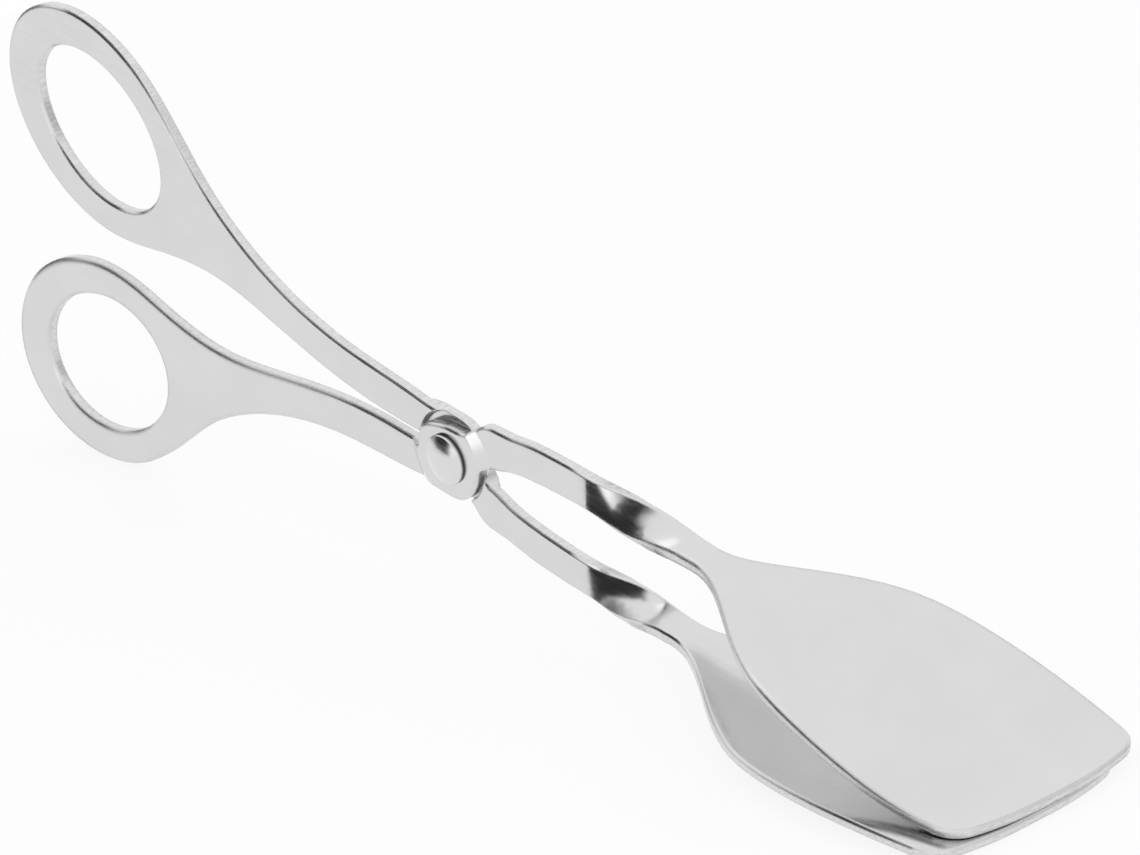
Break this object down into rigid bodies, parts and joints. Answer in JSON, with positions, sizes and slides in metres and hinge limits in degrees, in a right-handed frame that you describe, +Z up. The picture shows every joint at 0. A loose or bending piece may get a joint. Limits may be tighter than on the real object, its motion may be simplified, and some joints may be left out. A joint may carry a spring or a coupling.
{
  "type": "bread tongs",
  "caption": "Scissor-action bread tongs in bare steel: oval finger rings, a riveted pivot, twisted shanks and wide flat spatula blades that close tip to tip.",
  "frame": {"origin": "on the floor under the middle of the tongs' length, midway through the two arms, as they stand at rest", "axes": "+X runs along the tongs towards the blade tips, +Y along the pivot rivet towards the rear arm, +Z up, with the tongs standing on the lower finger ring and the lower blade's tip"},
  "size_m": [0.2612, 0.0488, 0.0875],
  "materials": {
    "steel_sheet": "satin",
    "rivet_steel": "satin"
  },
  "bodies": {
    "rear_body": {"rear_arm": "steel_sheet", "pivot_rivet": "rivet_steel"},
    "front_body": {"front_arm": "steel_sheet"}
  },
  "joints": [
    {"name": "pivot_hinge", "type": "hinge", "parent": "rear_body", "child": "front_body", "pos_m": [-0.00944, 0, 0.02658], "axis": [0, -1, 0], "range_deg": [0, 40]}
  ]
}
